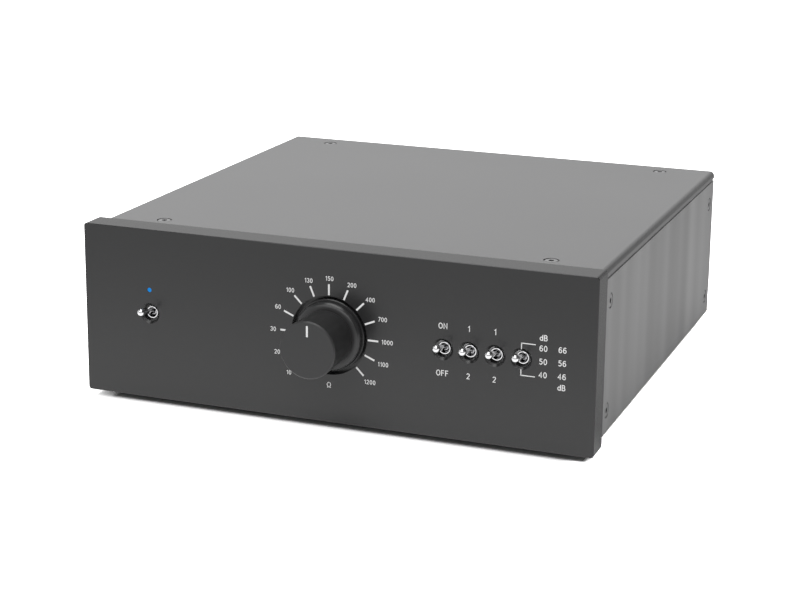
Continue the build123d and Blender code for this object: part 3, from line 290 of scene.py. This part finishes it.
finishes = {
    "plate_black": (blastedAnodising, {
        "colour": (0.0185, 0.0185, 0.019), "variation": 0.08, "roughness": 0.25, "roughVariation": 0.04,
        "patches": 18.0, "patchShare": 0.6, "grain": 2600.0, "depth": 0.004 * mm}),
    "knob_black": (turnedKnob, {
        "colour": (0.0235, 0.0235, 0.0241), "variation": 0.06, "roughness": 0.25, "roughVariation": 0.04,
        "gripRoughness": 0.42, "gripEnd": -97.0 * mm, "blend": 1.0 * mm,
        "patches": 60.0, "patchShare": 0.6, "grain": 3000.0, "depth": 0.003 * mm}),
    "cover_grey": (foldedAnodising, {
        "colour": (0.34, 0.34, 0.343), "variation": 0.05, "roughness": 0.36, "roughVariation": 0.04,
        "patches": 14.0, "patchShare": 0.6, "grain": 2400.0, "depth": 0.004 * mm, "metal": 0.9,
        # the two shares of painted shade, on the bend and on the lip
        "top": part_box("top_cover")[1].z, "bendPaintedShade": 0.38, "lipPaintedShade": 0.16,
        "bendStarts": (2.0 * mm, 1.3 * mm), "lipEnds": (0.8 * mm, 0.15 * mm)}),  # below the top
    "side_grey": (brushedAnodising, {
        "colour": (0.43, 0.43, 0.432), "variation": 0.22, "roughness": 0.36, "roughVariation": 0.08,
        # bands are painted reflections; fine and along give the real brushing lines
        "fine": 2200.0, "along": 12.0, "bands": 45.0, "bandsAlong": 1.2, "bandEdges": (0.3, 0.7),
        "paintedBandShare": 0.7, "depth": 0.003 * mm, "metal": 0.6}),
    "panel_black": (powderCoat, {
        "colour": (0.03, 0.03, 0.031), "variation": 0.1, "roughness": 0.5, "roughVariation": 0.1,
        "grain": 2200.0, "patches": 30.0, "depth": 0.03 * mm}),
    "sheet_steel": (bareMetal, {
        "colour": (0.55, 0.56, 0.57), "variation": 0.08, "roughness": 0.38, "roughVariation": 0.12,
        "patches": 60.0, "fine": 900.0, "depth": 0.004 * mm}),
    "dark_screw": (bareMetal, {
        "colour": (0.42, 0.42, 0.425), "variation": 0.15, "roughness": 0.3, "roughVariation": 0.1,
        "patches": 400.0, "fine": 3000.0, "depth": 0.002 * mm}),
    "zinc_screw": (bareMetal, {
        "colour": (0.62, 0.63, 0.64), "variation": 0.1, "roughness": 0.3, "roughVariation": 0.1,
        "patches": 300.0, "fine": 2500.0, "depth": 0.002 * mm}),
    "bright_steel": (bareMetal, {
        "colour": (0.62, 0.62, 0.63), "variation": 0.06, "roughness": 0.2, "roughVariation": 0.08,
        "patches": 300.0, "fine": 3000.0, "depth": 0.002 * mm}),
    "bright_chrome": (bareMetal, {
        "colour": (0.8, 0.8, 0.81), "variation": 0.03, "roughness": 0.17, "roughVariation": 0.05,
        "patches": 500.0, "fine": 3000.0, "depth": 0.0005 * mm}),
    "foot_rubber": (moulded, {
        "colour": (0.02, 0.02, 0.02), "variation": 0.2, "roughness": 0.8, "roughVariation": 0.08,
        "grain": 1500.0, "patches": 120.0, "depth": 0.02 * mm}),
    "light_blue": (litLens, {
        "colour": (0.003, 0.05, 0.15), "variation": 0.1, "roughness": 0.35, "roughVariation": 0.05,
        "gloss": 0.1, "grain": 900.0, "glow": (0.004, 0.22, 0.66), "strength": 0.85}),
    "board_green": (circuitBoard, {
        "mask": (0.01, 0.09, 0.035), "copper": (0.02, 0.15, 0.06), "roughness": 0.35,
        "roughVariation": 0.05, "tracks": 160.0, "stretch": 0.12, "edges": (0.5, 0.52),
        "depth": 0.03 * mm}),
    "brass_post": (bareMetal, {
        "colour": (0.72, 0.55, 0.27), "variation": 0.06, "roughness": 0.3, "roughVariation": 0.1,
        "patches": 250.0, "fine": 2500.0, "depth": 0.002 * mm}),
    "ribbon_grey": (flatCable, {
        "colour": (0.42, 0.42, 0.43), "mark": (0.5, 0.03, 0.02), "roughness": 0.5,
        "roughVariation": 0.1, "pitch": 1.27 * mm, "marked": 19.8 * mm, "depth": 0.3 * mm}),
    "moulded_black": (moulded, {
        "colour": (0.025, 0.025, 0.026), "variation": 0.1, "roughness": 0.45, "roughVariation": 0.08,
        "grain": 3000.0, "patches": 150.0, "depth": 0.01 * mm}),
    "can_sleeve": (moulded, {
        "colour": (0.015, 0.02, 0.05), "variation": 0.1, "roughness": 0.25, "roughVariation": 0.08,
        "grain": 800.0, "patches": 90.0, "depth": 0.005 * mm}),
    "film_red": (moulded, {
        "colour": (0.42, 0.04, 0.025), "variation": 0.1, "roughness": 0.3, "roughVariation": 0.08,
        "grain": 1800.0, "patches": 120.0, "depth": 0.005 * mm}),
    "relay_white": (moulded, {
        "colour": (0.68, 0.68, 0.65), "variation": 0.04, "roughness": 0.4, "roughVariation": 0.08,
        "grain": 2500.0, "patches": 120.0, "depth": 0.005 * mm}),
    "sink_black": (powderCoat, {
        "colour": (0.03, 0.03, 0.03), "variation": 0.1, "roughness": 0.5, "roughVariation": 0.1,
        "grain": 1800.0, "patches": 60.0, "depth": 0.01 * mm}),
    "socket_nickel": (bareMetal, {
        "colour": (0.1, 0.1, 0.102), "variation": 0.1, "roughness": 0.32, "roughVariation": 0.08,
        "patches": 120.0, "fine": 1500.0, "depth": 0.003 * mm}),
    "gold_contact": (bareMetal, {
        "colour": (0.9, 0.62, 0.24), "variation": 0.05, "roughness": 0.2, "roughVariation": 0.08,
        "patches": 300.0, "fine": 2500.0, "depth": 0.001 * mm}),
    "insulator_white": (insulator, {
        "white": (0.75, 0.75, 0.73), "red": (0.55, 0.02, 0.015), "variation": 0.05,
        "roughness": 0.4, "roughVariation": 0.05, "middle": 70 * mm, "grain": 900.0}),
    "print_white": (printedInk, {
        "colour": (0.8, 0.8, 0.8), "variation": 0.04, "roughness": 0.5, "roughVariation": 0.1,
        "grain": 3000.0}),
}
materials = {name: make(name, look) for name, (make, look) in finishes.items()}
for part in frame["record"]["subparts"]:
    mesh = nodes[part["node"]].data
    mesh.materials.clear()
    mesh.materials.append(materials[part["material_slot"]])
print("finishes made:", len(materials))


# small helpers for the pieces
def addObject(name, data):
    made = bpy.data.objects.new(name, data)
    bpy.context.scene.collection.objects.link(made)
    return made


def addMesh(name, shape, material):
    mesh = bpy.data.meshes.new(name)
    shape.to_mesh(mesh)
    shape.free()
    mesh.materials.append(material)
    return addObject(name, mesh)


def addPiece(name, shape, slot, body):
    bmesh.ops.recalc_face_normals(shape, faces=shape.faces)
    piece = addMesh(name, shape, materials[slot])
    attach(piece, body)
    return piece


def addBar(shape, centre, size, turn=0.0):  # a flat bar in the plane of the front, turned clockwise
    place = Matrix.Translation(centre) @ Matrix.Rotation(turn, 4, "Y") @ Matrix.Diagonal((*size, 1))
    bmesh.ops.create_cube(shape, size=1.0, matrix=place)


def arc(x, z, wide, high, start, end):  # points along an oval, from start to end in degrees
    stepAngle = 15
    steps = max(3, round(abs(end - start) / stepAngle))
    angles = [math.radians(start + (end - start) * step / steps) for step in range(steps + 1)]
    return [(x + wide * math.cos(angle), z + high * math.sin(angle)) for angle in angles]


lettering = {
    "stroke": 0.16,  # of the height, as are the gap and the sizes below
    "gap": 0.32,
    "stagger": 0.05,  # of the thickness, so that crossing strokes don't share a plane
    "strokes": {  # width of each letter and the middle lines of its strokes
        "0": (0.52, [arc(0.26, 0.5, 0.26, 0.5, 0, 360)]),
        "1": (0.3, [[(0.02, 0.76), (0.26, 1.0), (0.26, -0.07)]]),
        "2": (0.52, [arc(0.26, 0.73, 0.25, 0.27, 170, -38) + [(0.02, 0.0), (0.55, 0.0)]]),
        "3": (0.52, [arc(0.24, 0.75, 0.23, 0.25, 160, -90), arc(0.24, 0.25, 0.27, 0.25, 90, -160)]),
        "4": (0.56, [[(0.42, -0.07), (0.42, 0.98), (0.0, 0.27), (0.6, 0.27)]]),
        "5": (0.52, [[(0.5, 1.0), (0.1, 1.0), (0.04, 0.55)], arc(0.24, 0.31, 0.28, 0.31, 130, -150)]),
        "6": (0.52, [arc(0.26, 0.3, 0.26, 0.3, 0, 360), arc(0.3, 0.5, 0.3, 0.5, 50, 180) + [(0.0, 0.3)]]),
        "7": (0.5, [[(0.0, 1.0), (0.5, 1.0), (0.14, -0.07)]]),
        "B": (0.55, [[(0.24, 0.52), (0.0, 0.52), (0.0, 1.0), (0.27, 1.0)]
                     + arc(0.27, 0.76, 0.2, 0.24, 90, -90),
                     [(0.27, 0.52)] + arc(0.29, 0.26, 0.24, 0.26, 90, -90) + [(0.0, 0.0), (0.0, 0.52)]]),
        "d": (0.5, [arc(0.24, 0.32, 0.24, 0.32, 0, 360), [(0.5, -0.07), (0.5, 1.07)]]),
        "F": (0.48, [[(0.0, -0.07), (0.0, 1.0), (0.5, 1.0)], [(0.0, 0.52), (0.44, 0.52)]]),
        "N": (0.6, [[(0.0, -0.07), (0.0, 1.0), (0.6, 0.0), (0.6, 1.07)]]),
        "O": (0.7, [arc(0.35, 0.5, 0.35, 0.5, 0, 360)]),
        "Ω": (0.8, [[(0.0, 0.0), (0.24, 0.0)] + arc(0.4, 0.56, 0.36, 0.44, 242, -62)
                    + [(0.56, 0.0), (0.8, 0.0)]]),
    },
}


def addStroke(shape, points, wide, thick, y):  # flat ribbon along points (x, z), with mitred corners
    sharpestMitre = 0.5
    closed = (Vector(points[0]) - Vector(points[-1])).length < wide / 100
    points = [Vector(point) for point in (points[:-1] if closed else points)]
    rows = []
    for index, here in enumerate(points):
        into = here - points[index - 1] if closed or index else None
        out = points[(index + 1) % len(points)] - here if closed or index < len(points) - 1 else None
        into, out = (into or out).normalized(), (out or into).normalized()
        along = (into + out).normalized()
        reach = wide / 2 / max(sharpestMitre, along.dot(into))
        side = Vector((along.y, -along.x)) * reach
        corners = [(here + side, y), (here - side, y), (here - side, y + thick), (here + side, y + thick)]
        rows.append([shape.verts.new((corner.x, depth, corner.y)) for corner, depth in corners])
    for index in range(len(rows) if closed else len(rows) - 1):
        row, following = rows[index], rows[(index + 1) % len(rows)]
        for edge in range(4):
            shape.faces.new((row[edge], row[(edge + 1) % 4], following[(edge + 1) % 4], following[edge]))
    if not closed:
        shape.faces.new(rows[0])
        shape.faces.new(reversed(rows[-1]))


def addLettering(shape, words, centre, height, thick):  # upright letters that face the front
    scale = height / (1 + lettering["stroke"])
    letters = [lettering["strokes"][letter] for letter in words]
    gaps = lettering["gap"] * (len(letters) - 1)
    x = centre.x - (sum(wide for wide, strokes in letters) + gaps) * scale / 2
    for wide, strokes in letters:
        for index, stroke in enumerate(strokes):
            points = [(x + px * scale, centre.z + (pz - 0.5) * scale) for px, pz in stroke]
            front = centre.y - thick * (0.5 + lettering["stagger"] * index)
            addStroke(shape, points, lettering["stroke"] * scale, thick, front)
        x += (wide + lettering["gap"]) * scale


# printed scale and numbers on the front
plateLow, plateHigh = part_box("front_plate")
knobLow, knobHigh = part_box("knob")
dialX = (knobLow.x + knobHigh.x) / 2
dialZ = (knobLow.z + knobHigh.z) / 2
ink = {"thick": 0.03 * mm, "proud": 0.02 * mm}
inkY = plateLow.y - ink["proud"] + ink["thick"] / 2

dialPrint = {
    "numbers": {  # mm across and up from the centre
        10: (-16.4, -16.4), 20: (-21.2, -8.8), 30: (-22.8, 0.0), 60: (-20.7, 8.9), 100: (-15.7, 15.9),
        130: (-8.2, 20.4), 150: (0.2, 22.0), 200: (9.2, 20.4), 400: (16.5, 15.6), 700: (21.4, 8.6),
        1000: (23.3, 0.0), 1100: (21.7, -8.7), 1200: (16.5, -16.2),
    },
    "step": 22.5,  # degrees
    "tickStart": 15.6 * mm,
    "tickEnd": 19.8 * mm,
    "tickWide": 0.7 * mm,
    "height": 1.75 * mm,
    "unit": "Ω",
    "unitDrop": 19.3 * mm,
    "unitHeight": 2.2 * mm,
}
shape = bmesh.new()
dialCentre = Vector((dialX, inkY, dialZ))
tickMiddle = (dialPrint["tickStart"] + dialPrint["tickEnd"]) / 2
tickSize = (dialPrint["tickWide"], ink["thick"], dialPrint["tickEnd"] - dialPrint["tickStart"])
firstTurn = -dialPrint["step"] * (len(dialPrint["numbers"]) - 1) / 2
for index, (number, (across, up)) in enumerate(dialPrint["numbers"].items()):
    turn = math.radians(firstTurn + index * dialPrint["step"])
    outward = Vector((math.sin(turn), 0, math.cos(turn)))
    addBar(shape, dialCentre + outward * tickMiddle, tickSize, turn)
    numberPlace = dialCentre + Vector((across, 0, up)) * mm
    addLettering(shape, str(number), numberPlace, dialPrint["height"], ink["thick"])
unitPlace = Vector((dialX, inkY, dialZ - dialPrint["unitDrop"]))
addLettering(shape, dialPrint["unit"], unitPlace, dialPrint["unitHeight"], ink["thick"])
addPiece("dial_print", shape, "print_white", "case")

gainPrint = {
    "columns": (  # numbers from the top, how far across, how far up, and the side of the unit
        (("60", "50", "40"), 83.2 * mm, 0.0, 1),
        (("66", "56", "46"), 90.3 * mm, 0.2 * mm, -1),
    ),
    "pitch": 4.95 * mm,
    "height": 2.25 * mm,
    "unit": "dB",
    "unitRise": 8.9 * mm,
    "bracketEnd": 80.3 * mm,
    "bracketNear": 4.0 * mm,
    "bracketFar": 6.05 * mm,
    "line": 0.35 * mm,
}
gainLow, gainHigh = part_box("gain_lever")
gainX = (gainLow.x + gainHigh.x) / 2
shape = bmesh.new()
for numbers, x, rise, side in gainPrint["columns"]:
    for row, number in enumerate(numbers):
        place = Vector((x, inkY, dialZ + (1 - row) * gainPrint["pitch"] + rise))
        addLettering(shape, number, place, gainPrint["height"], ink["thick"])
    place = Vector((x, inkY, dialZ + side * gainPrint["unitRise"]))
    addLettering(shape, gainPrint["unit"], place, gainPrint["height"], ink["thick"])
for side in (1, -1):
    near, far, line = gainPrint["bracketNear"], gainPrint["bracketFar"], gainPrint["line"]
    upright = Vector((gainX, inkY, dialZ + side * (near + far) / 2))
    addBar(shape, upright, (line, ink["thick"], far - near + line))
    level = Vector(((gainX + gainPrint["bracketEnd"]) / 2, inkY, dialZ + side * far))
    addBar(shape, level, (gainPrint["bracketEnd"] - gainX, ink["thick"], line))
addPiece("gain_print", shape, "print_white", "case")

switchPrint = {
    "words": {"mute_lever": ("ON", "OFF"), "load_lever": ("1", "2"), "curve_lever": ("1", "2")},
    "rise": 9.0 * mm,
    "height": 2.25 * mm,
}
shape = bmesh.new()
for lever, words in switchPrint["words"].items():
    leverLow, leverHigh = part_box(lever)
    for word, side in zip(words, (1, -1)):
        place = Vector(((leverLow.x + leverHigh.x) / 2, inkY, dialZ + side * switchPrint["rise"]))
        addLettering(shape, word, place, switchPrint["height"], ink["thick"])
addPiece("switch_print", shape, "print_white", "case")

pointer = {
    "start": 5.1 * mm,
    "end": 9.3 * mm,
    "wide": 0.8 * mm,
    "sunk": 0.05 * mm,
    "thick": 0.19 * mm,
    "clear": 0.01 * mm,  # of the groove in the knob
}
shape = bmesh.new()
pointerPlace = Vector((dialX, knobLow.y + pointer["sunk"] + pointer["thick"] / 2,
                       dialZ + (pointer["start"] + pointer["end"]) / 2))
pointerSize = (pointer["wide"] - pointer["clear"], pointer["thick"],
               pointer["end"] - pointer["start"] - pointer["clear"])
addBar(shape, pointerPlace, pointerSize)
addPiece("knob_pointer", shape, "print_white", "dial")
print("front print made")


# ground terminal, with the thread that the frame leaves out
post = {
    "pitch": 0.7 * mm,
    "major": 2.0 * mm,
    "minor": 1.6 * mm,
    "hexSides": 6,
    "hexWide": 7.0 * mm,
    "hexThick": 2.0 * mm,
    "nutThick": 2.4 * mm,
    "inside": 6.0 * mm,
    "turnSteps": 32,
    "rows": ((0.0, 0.0), (0.4, 1.0), (0.6, 1.0)),  # along one turn, and how far out
    "merge": 0.001 * mm,  # points closer than this become one
    "sliver": 0.0005 * mm,  # and edges shorter than this go
}


def addPrism(shape, centre, radius, start, end, sides):  # along the depth of the object
    turn = Matrix.Rotation(math.radians(90), 4, "X") @ Matrix.Rotation(math.radians(180 / sides), 4, "Z")
    place = Matrix.Translation((centre.x, (start + end) / 2, centre.z)) @ turn
    bmesh.ops.create_cone(shape, cap_ends=True, segments=sides, radius1=radius, radius2=radius,
                          depth=end - start, matrix=place)


def addThread(shape, centre, start, end):
    pitch, steps, rows = post["pitch"], post["turnSteps"], post["rows"]
    major, minor = post["major"], post["minor"]
    rings = []
    for turn in range(-1, math.ceil((end - start) / pitch) + 1):
        for along, out in rows:
            ring = []
            for step in range(steps + 1):
                y = min(end, max(start, start + pitch * (turn + along + step / steps)))
                limit = minor + min(y - start, end - y)
                radius = min(minor + (major - minor) * out, limit)
                angle = math.radians(360 * step / steps)
                x, z = centre.x + radius * math.cos(angle), centre.z + radius * math.sin(angle)
                ring.append(shape.verts.new((x, y, z)))
            rings.append(ring)
    for ring, following in zip(rings, rings[1:]):
        for step in range(steps):
            shape.faces.new((ring[step], ring[step + 1], following[step + 1], following[step]))
    bmesh.ops.remove_doubles(shape, verts=shape.verts, dist=post["merge"])
    bmesh.ops.dissolve_degenerate(shape, edges=shape.edges, dist=post["sliver"])
    bmesh.ops.holes_fill(shape, edges=[edge for edge in shape.edges if edge.is_boundary], sides=0)


postLow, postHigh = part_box("ground_post")
postCentre = (postLow + postHigh) / 2
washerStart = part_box("ground_washer")[0].y
panelFace = washerStart - post["hexThick"]
hexRadius = post["hexWide"] / math.sqrt(3)
shape = bmesh.new()
addThread(shape, postCentre, washerStart, postHigh.y)
addPrism(shape, postCentre, post["major"], postLow.y, washerStart, post["turnSteps"])
addPrism(shape, postCentre, hexRadius, panelFace, washerStart, post["hexSides"])
nutEnd = postLow.y + post["inside"]
addPrism(shape, postCentre, hexRadius, nutEnd - post["nutThick"], nutEnd, post["hexSides"])
groundPost = addPiece("threaded_ground_post", shape, "gold_contact", "case")
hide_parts("ground_post")
print("ground terminal made")


floorLook = {
    "size": 6.0,
    "colour": 0.9,
    "glossFar": 0.85,  # as gloss sees it: far in front, near the plate with a painted light, and behind it with a painted shadow
    "glossPaintedLight": 1.45,
    "glossPaintedShadow": 0.62,
    "nearStarts": (-350 * mm, -110 * mm),
    "behindStarts": (-100 * mm, -50 * mm),
    "seenOpen": 3.0,  # as the camera sees it: in the open, right of the case where a painted light takes the shadow away, and under it where a painted shadow lies
    "seenPaintedLight": 12.0,
    "seenPaintedShadow": 0.5,
    "underStarts": (3 * mm, 6 * mm),  # behind the face of the plate
    "underEnds": 3 * mm,  # before the back of the base
    "leftBlur": 4 * mm,
    "rightBlur": 3 * mm,
    "besideStarts": 8 * mm,  # inside the right edge of the base
    "narrowing": 5.5 * mm,  # of the right edge, behind the plate
    "narrowingStarts": (13 * mm, 17 * mm),  # behind the face of the plate
}


def grey(level):
    return (level, level, level, 1)


def addFloor():  # white; the camera sees a painted shadow under the case and a painted light beside it, and gloss sees a painted light near the plate and a painted shadow behind it
    finish = Finish("floor")
    across, along = finish.axis("X"), finish.axis("Y")
    baseLow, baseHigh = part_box("base_plate")

    def behindPlate(ends):
        return finish.smooth(along, *(plateLow.y + end for end in ends))

    def matt(colour):
        return finish.node("ShaderNodeBsdfDiffuse", None, {"Color": colour})

    backEdge = finish.smooth(along, baseHigh.y - floorLook["underEnds"], baseHigh.y)
    narrowed = across + behindPlate(floorLook["narrowingStarts"]) * floorLook["narrowing"]
    leftEdge = finish.smooth(across, baseLow.x, baseLow.x + floorLook["leftBlur"])
    rightEdge = finish.smooth(narrowed, baseHigh.x, baseHigh.x + floorLook["rightBlur"])
    # painted shadow: the floor under the case, darkened for the camera
    paintedShadowUnder = (behindPlate(floorLook["underStarts"]) - backEdge) * (leftEdge - rightEdge)
    # painted light: the floor right of the case, brightened for the camera so that its shadow is gone
    paintedLightBeside = finish.smooth(narrowed, baseHigh.x - floorLook["besideStarts"], plateHigh.x)
    clear = finish.between(paintedLightBeside, grey(floorLook["seenOpen"]), grey(floorLook["seenPaintedLight"]))
    seen = finish.between(paintedShadowUnder, clear, grey(floorLook["seenPaintedShadow"]))
    # painted light on the floor near the plate, and painted shadow behind it, as gloss sees them
    near = finish.smooth(along, *floorLook["nearStarts"])
    front = finish.between(near, grey(floorLook["glossFar"]), grey(floorLook["glossPaintedLight"]))
    behind = finish.smooth(along, *floorLook["behindStarts"])
    mirrored = finish.between(behind, front, grey(floorLook["glossPaintedShadow"]))
    plain = matt(grey(floorLook["colour"]))
    mixed = finish.node("ShaderNodeMixShader", None, {0: finish.ray("Camera"), 1: plain, 2: matt(seen)})
    mixed = finish.node("ShaderNodeMixShader", None, {0: finish.ray("Glossy"), 1: mixed, 2: matt(mirrored)})
    finish.node("ShaderNodeOutputMaterial", None, {"Surface": mixed})
    shape = bmesh.new()
    bmesh.ops.create_grid(shape, x_segments=1, y_segments=1, size=floorLook["size"] / 2)
    addMesh("floor", shape, finish.material)


surroundings = {
    "ambient": 0.32,
    "wall": 0.8,
    "above": 0.096,
    "wallRise": 0.4,  # of the top of the wall towards the back
    "wallLean": 0.7,  # and its fall towards the right
    "wallBlur": 0.1,
}


def addSurroundings():  # white to the eye, to gloss pale low down and dim above that, and even to the rest
    world = bpy.data.worlds.new("surroundings")
    bpy.context.scene.world = world
    world.cycles.sampling_method = "NONE"  # gloss then sees the same wall all over
    tree = NodeTree(world)
    toGloss = tree.ray("Glossy")
    seen = tree.ray("Camera").larger(toGloss).larger(tree.ray("Transmission"))
    strength = tree.between(seen, surroundings["ambient"], 1.0, "FLOAT")
    place = tree.place("Generated")
    height = (tree.axis("Z", place) - tree.axis("Y", place) * surroundings["wallRise"]
              + tree.axis("X", place) * surroundings["wallLean"])
    aboveWall = tree.smooth(height, 0.0, surroundings["wallBlur"])
    mirrored = tree.between(aboveWall, surroundings["wall"], surroundings["above"], "FLOAT")
    chosen = tree.between(toGloss, strength, mirrored, "FLOAT")
    background = tree.node("ShaderNodeBackground", None, {"Color": grey(1), "Strength": chosen})
    tree.node("ShaderNodeOutputWorld", None, {"Surface": background})


lamps = {
    "overhead": {"place": (-0.1, -0.4, 1.5), "target": (0.0, 0.0, 0.0),
                 "wide": 1.1, "high": 0.9, "power": 11.0},
    "front": {"place": (0.0, -1.65, 1.2), "target": (0.0, 0.0, 0.04),
              "wide": 3.0, "high": 1.1, "power": 21.0},
}


def addLamps():
    for name, lamp in lamps.items():
        light = bpy.data.lights.new(name, "AREA")
        light.shape = "RECTANGLE"
        light.size = lamp["wide"]
        light.size_y = lamp["high"]
        light.energy = lamp["power"]
        holder = addObject(name, light)
        holder.location = lamp["place"]
        aim = Vector(lamp["target"]) - Vector(lamp["place"])
        holder.rotation_euler = aim.to_track_quat("-Z", "Y").to_euler()


cameraView = {
    "azimuth": 20.88,  # degrees, as are the next two
    "elevation": 14.5,
    "roll": 0.55,
    "distance": 802.05 * mm,
    "target": (-6.48 * mm, -4.37 * mm, 48.3 * mm),
    "focalPixels": 1934.8,
    "middleRow": 250.0,
    "pictureWide": 800,
    "pictureHigh": 600,
    "sensor": 36.0,
    "clipStart": 10 * mm,
}


def addCamera():
    azimuth, elevation, roll = (math.radians(cameraView[key]) for key in ("azimuth", "elevation", "roll"))
    back = Vector((math.sin(azimuth) * math.cos(elevation), -math.cos(azimuth) * math.cos(elevation),
                   math.sin(elevation)))
    level = Vector((math.cos(azimuth), math.sin(azimuth), 0))
    upright = back.cross(level)
    right = math.cos(roll) * level + math.sin(roll) * upright
    up = back.cross(right)
    turn = Matrix((right, up, back)).transposed().to_4x4()
    lens = bpy.data.cameras.new("camera")
    lens.sensor_fit = "HORIZONTAL"
    lens.sensor_width = cameraView["sensor"]
    lens.lens = cameraView["focalPixels"] * cameraView["sensor"] / cameraView["pictureWide"]
    lens.shift_y = (cameraView["middleRow"] - cameraView["pictureHigh"] / 2) / cameraView["pictureWide"]
    lens.clip_start = cameraView["clipStart"]
    camera = addObject("camera", lens)
    place = Vector(cameraView["target"]) + back * cameraView["distance"]
    camera.matrix_world = Matrix.Translation(place) @ turn
    bpy.context.scene.camera = camera


addFloor()
addSurroundings()
addLamps()
addCamera()
bpy.context.scene.view_settings.view_transform = "Standard"
print("studio and camera set")
